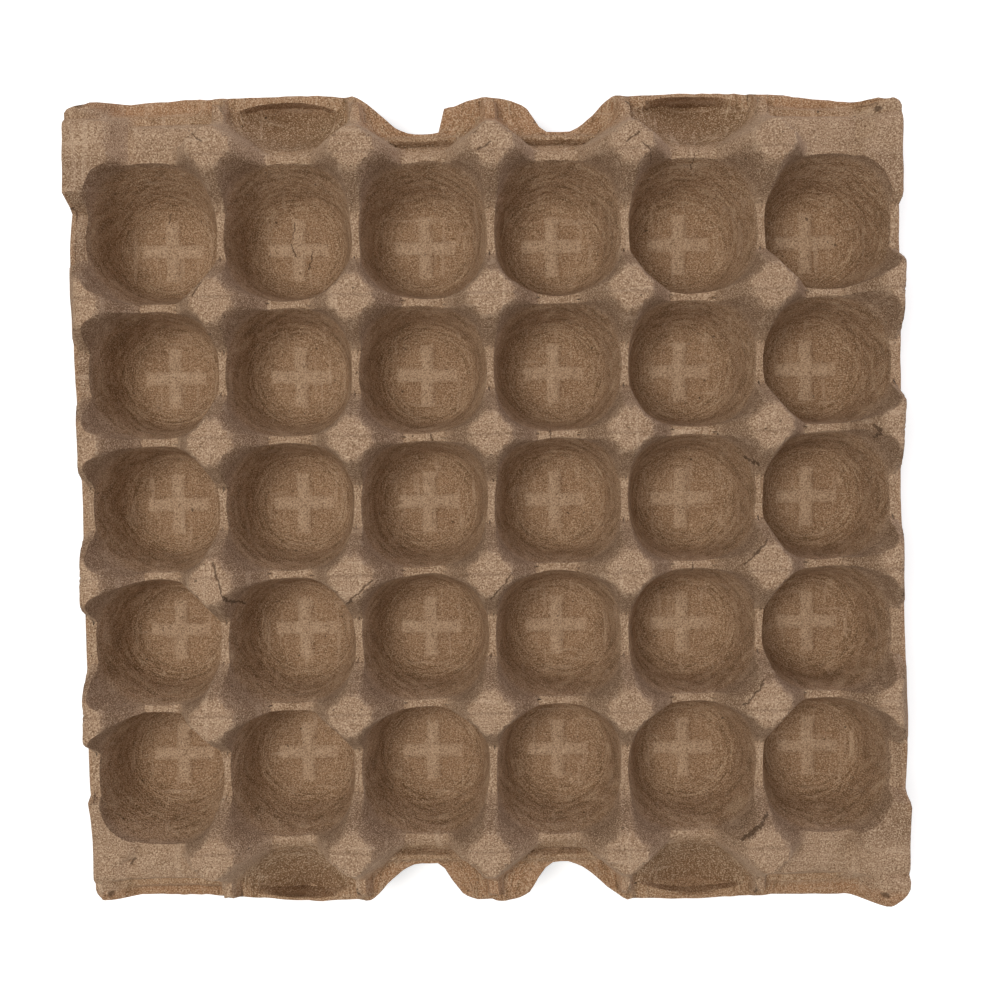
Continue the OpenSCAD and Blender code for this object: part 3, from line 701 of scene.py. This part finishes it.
in_widths = worked("DIVIDE", worked("SQRT", away, 0.0), worked("MULTIPLY", marked("mark_width"), MARK_SHARE))
cracks_specks_and_dimple_shade = worked("MULTIPLY", ranged(in_widths, 1.0, 0.4, kind="SMOOTHSTEP"), upper_face)
# The cross arms, paled further down as a painted highlight on the raised ribs.
in_cup_x = worked("SUBTRACT", PITCH / 2 * MM, worked("PINGPONG", rough_x, PITCH / 2 * MM))
in_cup_y = worked("PINGPONG", rough_y, PITCH / 2 * MM)
CROSS_BLUR = 0.6
reach_out, reach_in = (CROSS_REACH + CROSS_BLUR) * MM, (CROSS_REACH - CROSS_BLUR) * MM
half_out, half_in = (CROSS_HALF + CROSS_BLUR) * MM, (CROSS_HALF - CROSS_BLUR) * MM
arms = [worked("MULTIPLY", ranged(across, half_out, half_in, kind="SMOOTHSTEP"),
               ranged(reach, reach_out, reach_in, kind="SMOOTHSTEP"))
        for across, reach in ((in_cup_y, in_cup_x), (in_cup_x, in_cup_y))]
# Cup floors below 5 to 9 mm: the mask of the painted floor shade, and the bound of the cross.
low = worked("MULTIPLY", ranged(at_z, 9.0 * MM, 5.0 * MM), upper_face)
cross = worked("MULTIPLY", worked("MAXIMUM", *arms), low)
plain_x = worked("SUBTRACT", PITCH / 2 * MM, worked("PINGPONG", at_x, PITCH / 2 * MM))
plain_y = worked("PINGPONG", at_y, PITCH / 2 * MM)
cup_radius = worked("ADD", worked("MULTIPLY", plain_x, plain_x), worked("MULTIPLY", plain_y, plain_y))
cup_radius = worked("SQRT", cup_radius, 0.0)
ring_place = joined(cup_radius, worked("MULTIPLY", at_x, 0.1), worked("MULTIPLY", at_y, 0.1))
rings = pulp_noise(1300.0, 2.0, at=ring_place)
in_wall = worked("MULTIPLY", ranged(cup_radius, 11.0 * MM, 16.0 * MM), ranged(at_z, 34.0 * MM, 24.0 * MM))
# Painted light: everything above the height of the lands is paler, as the tops that catch the light.
painted_top_light = ranged(at_z, 26.0 * MM, 29.0 * MM)
# Painted shade: the peak flanks between the lands and the tops are darker, like the cup walls in shade.
painted_flank_shade = worked("MULTIPLY", ranged(at_z, 30.5 * MM, 34.0 * MM), ranged(at_z, 45.6 * MM, 44.6 * MM))
painted_flank_shade = worked("MULTIPLY", painted_flank_shade, ranged(worked("ABSOLUTE", at_y, 0.0), 124.0 * MM, 120.0 * MM))
# Painted shade: a darker line across the middle of each peak top, standing in for a slight fold.
painted_fold_shade = worked("MULTIPLY", ranged(in_cup_y, 23.3 * MM, 23.9 * MM), ranged(at_z, 44.0 * MM, 45.5 * MM))
mottle = ranged(pulp_noise(38.0, 4.0), 0.35, 0.65)
patch = ranged(pulp_noise(140.0, 5.0), 0.35, 0.68)
grain = pulp_noise(2000.0, 1.5, roughness=0.6)
fibre_a = ranged(pulp_noise(420.0, 2.0, (1.0, 0.09, 0.4), 0.6), 0.60, 0.70)
fibre_b = ranged(pulp_noise(420.0, 2.0, (0.09, 1.0, 0.4), 1.9), 0.61, 0.71)
speck = ranged(pulp_noise(520.0, 1.0, turn=0.3), 0.75, 0.79)
fibres = worked("MAXIMUM", fibre_a, fibre_b)
in_rings = worked("MULTIPLY", in_wall, 0.75)
colour = blended((0.35, 0.208, 0.115, 1.0), (0.40, 0.245, 0.138, 1.0), mottle)
# Colours that lie over the mottled base one after the other, each with the share that it covers.
LAYERS = (
    # painted highlight on the tops above the lands
    ((0.39, 0.255, 0.162, 1.0), painted_top_light),
    ((0.27, 0.155, 0.085, 1.0), worked("MULTIPLY", patch, 0.4)),
    # painted shade: the pockets darker and redder brown, as shade in the recess
    ((0.17, 0.085, 0.036, 1.0), worked("MULTIPLY", marked("pocket"), 0.7)),
    # painted shade on the peak flanks
    ((0.22, 0.13, 0.075, 1.0), worked("MULTIPLY", painted_flank_shade, 0.6)),
    ((0.38, 0.195, 0.095, 1.0), worked("MULTIPLY", marked("edge"), 0.65)),
    # painted shade: the cup floors a little darker
    ((0.27, 0.16, 0.09, 1.0), worked("MULTIPLY", low, 0.05)),
    # painted highlight: the raised cross arms paler, as where they catch more light
    ((0.64, 0.45, 0.30, 1.0), worked("MULTIPLY", cross, 0.5)),
    ((0.20, 0.115, 0.055, 1.0), worked("MULTIPLY", ranged(rings, 0.52, 0.32), in_rings)),
    ((0.50, 0.35, 0.22, 1.0), worked("MULTIPLY", ranged(rings, 0.52, 0.72), in_rings)),
    ((0.74, 0.55, 0.38, 1.0), ranged(grain, 0.50, 0.76, 0.0, 0.85)),
    ((0.13, 0.07, 0.032, 1.0), ranged(grain, 0.49, 0.26, 0.0, 0.9)),
    ((0.68, 0.50, 0.35, 1.0), worked("MULTIPLY", fibres, 0.25)),
    # painted shade along the line across each peak top
    ((0.17, 0.10, 0.06, 1.0), worked("MULTIPLY", painted_fold_shade, 0.35)),
    ((0.05, 0.03, 0.018, 1.0), worked("MULTIPLY", speck, 0.7)),
    # cracks and specks, and painted shade in the four corner dimples
    ((0.06, 0.03, 0.015, 1.0), worked("MULTIPLY", cracks_specks_and_dimple_shade, 0.7)),
)
for tint, cover in LAYERS:
    colour = blended(colour, tint, cover)
links.new(colour, shader.inputs["Base Color"])
shader.inputs["Roughness"].default_value = 0.95
shader.inputs["Specular IOR Level"].default_value = 0.15
relief = worked("ADD", worked("MULTIPLY", grain, 0.7), worked("MULTIPLY", pulp_noise(260.0, 4.0), 0.9))
relief = worked("ADD", relief, worked("MULTIPLY", worked("MULTIPLY", rings, in_wall), 0.8))
bump = nodes.new("ShaderNodeBump")
bump.inputs["Strength"].default_value = 0.8
bump.inputs["Distance"].default_value = 0.0009
links.new(relief, bump.inputs["Height"])
links.new(bump.outputs["Normal"], shader.inputs["Normal"])
mesh.materials.append(pulp)
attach(sheet, "root")
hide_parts("tray")

# The floor
# A plain white studio floor under the tray, which stands on the flat bottoms of its cups.
floor_mesh = bpy.data.meshes.new("floor")
FLOOR_HALF, FLOOR_Z = 4.0, -0.0005
floor_corners = [(x * FLOOR_HALF, y * FLOOR_HALF, FLOOR_Z) for x, y in ((-1, -1), (1, -1), (1, 1), (-1, 1))]
floor_mesh.from_pydata(floor_corners, [], [(0, 1, 2, 3)])
floor = bpy.data.objects.new("floor", floor_mesh)
bpy.context.scene.collection.objects.link(floor)
white = bpy.data.materials.new("white_floor")
white.use_nodes = True
white_nodes, white_links = white.node_tree.nodes, white.node_tree.links
white_shader = white_nodes["Principled BSDF"]
white_shader.inputs["Base Color"].default_value = (0.86, 0.86, 0.86, 1.0)
white_shader.inputs["Roughness"].default_value = 0.9
white_shader.inputs["Specular IOR Level"].default_value = 0.0
glow = white_nodes.new("ShaderNodeEmission")
ray = white_nodes.new("ShaderNodeLightPath")
seen = ray.outputs["Is Camera Ray"]
for other_ray in ("Is Glossy Ray", "Is Transmission Ray"):
    either = white_nodes.new("ShaderNodeMath")
    either.operation = "MAXIMUM"
    white_links.new(seen, either.inputs[0])
    white_links.new(ray.outputs[other_ray], either.inputs[1])
    seen = either.outputs["Value"]
level = white_nodes.new("ShaderNodeMath")
level.operation = "MULTIPLY"
level.inputs[1].default_value = 0.45
white_links.new(seen, level.inputs[0])
white_links.new(level.outputs["Value"], glow.inputs["Strength"])
both = white_nodes.new("ShaderNodeAddShader")
white_links.new(white_shader.outputs["BSDF"], both.inputs[0])
white_links.new(glow.outputs["Emission"], both.inputs[1])
white_links.new(both.outputs["Shader"], white_nodes["Material Output"].inputs["Surface"])
floor_mesh.materials.append(white)

# The light
# A broad pale sky, a large soft lamp high on the -X side and a weak cool one low on the +X, +Y side.
world = bpy.data.worlds.new("studio")
bpy.context.scene.world = world
world.use_nodes = True
sky = world.node_tree.nodes["Background"]
sky.inputs["Color"].default_value = (1.0, 1.0, 1.0, 1.0)
sky.inputs["Strength"].default_value = 0.52


def studio_lamp(name, at, size, power, colour):
    """Square area lamp at a place in metres, facing the tray."""
    lamp = bpy.data.lights.new(name, "AREA")
    lamp.shape = "SQUARE"
    lamp.size = size
    lamp.energy = power
    lamp.color = colour
    holder = bpy.data.objects.new(name, lamp)
    to_lamp = np.array(at) / np.linalg.norm(at)
    right = np.cross((0.0, 1.0, 0.0), to_lamp)
    right /= np.linalg.norm(right)
    turn = np.eye(4)
    turn[:3, 0], turn[:3, 1], turn[:3, 2], turn[:3, 3] = right, np.cross(to_lamp, right), to_lamp, at
    holder.matrix_world = Matrix(turn.tolist())
    bpy.context.scene.collection.objects.link(holder)


studio_lamp("key", (-0.42, 0.06, 1.20), 0.45, 7.4, (1.0, 0.98, 0.94))
studio_lamp("fill", (0.95, 0.75, 0.40), 0.5, 3.6, (0.84, 0.82, 1.0))

# The camera
# Straight above the tray, as in the photograph: fitted to the peak tops and the crosses of the cups.
CAMERA_AT = (4.724, 12.950, 413.397)
TURNS = np.radians((1.798, -0.210, 0.782))
FOCAL_PIXELS, FRAME_PIXELS, SENSOR = 1074.4, 1000.0, 36.0
ca, cb, cc = np.cos(TURNS)
sa, sb, sc = np.sin(TURNS)
about_x = np.array([[1, 0, 0], [0, ca, -sa], [0, sa, ca]])
about_y = np.array([[cb, 0, sb], [0, 1, 0], [-sb, 0, cb]])
about_z = np.array([[cc, -sc, 0], [sc, cc, 0], [0, 0, 1]])
pose = np.eye(4)
pose[:3, :3] = (about_x @ about_y @ about_z).T
pose[:3, 3] = np.array(CAMERA_AT) / 1000.0
lens = bpy.data.cameras.new("camera")
lens.sensor_width = SENSOR
lens.lens = SENSOR * FOCAL_PIXELS / FRAME_PIXELS
lens.clip_start = 0.01
camera = bpy.data.objects.new("camera", lens)
camera.matrix_world = Matrix(pose.tolist())
bpy.context.scene.collection.objects.link(camera)
bpy.context.scene.camera = camera
bpy.context.scene.view_settings.view_transform = "Standard"
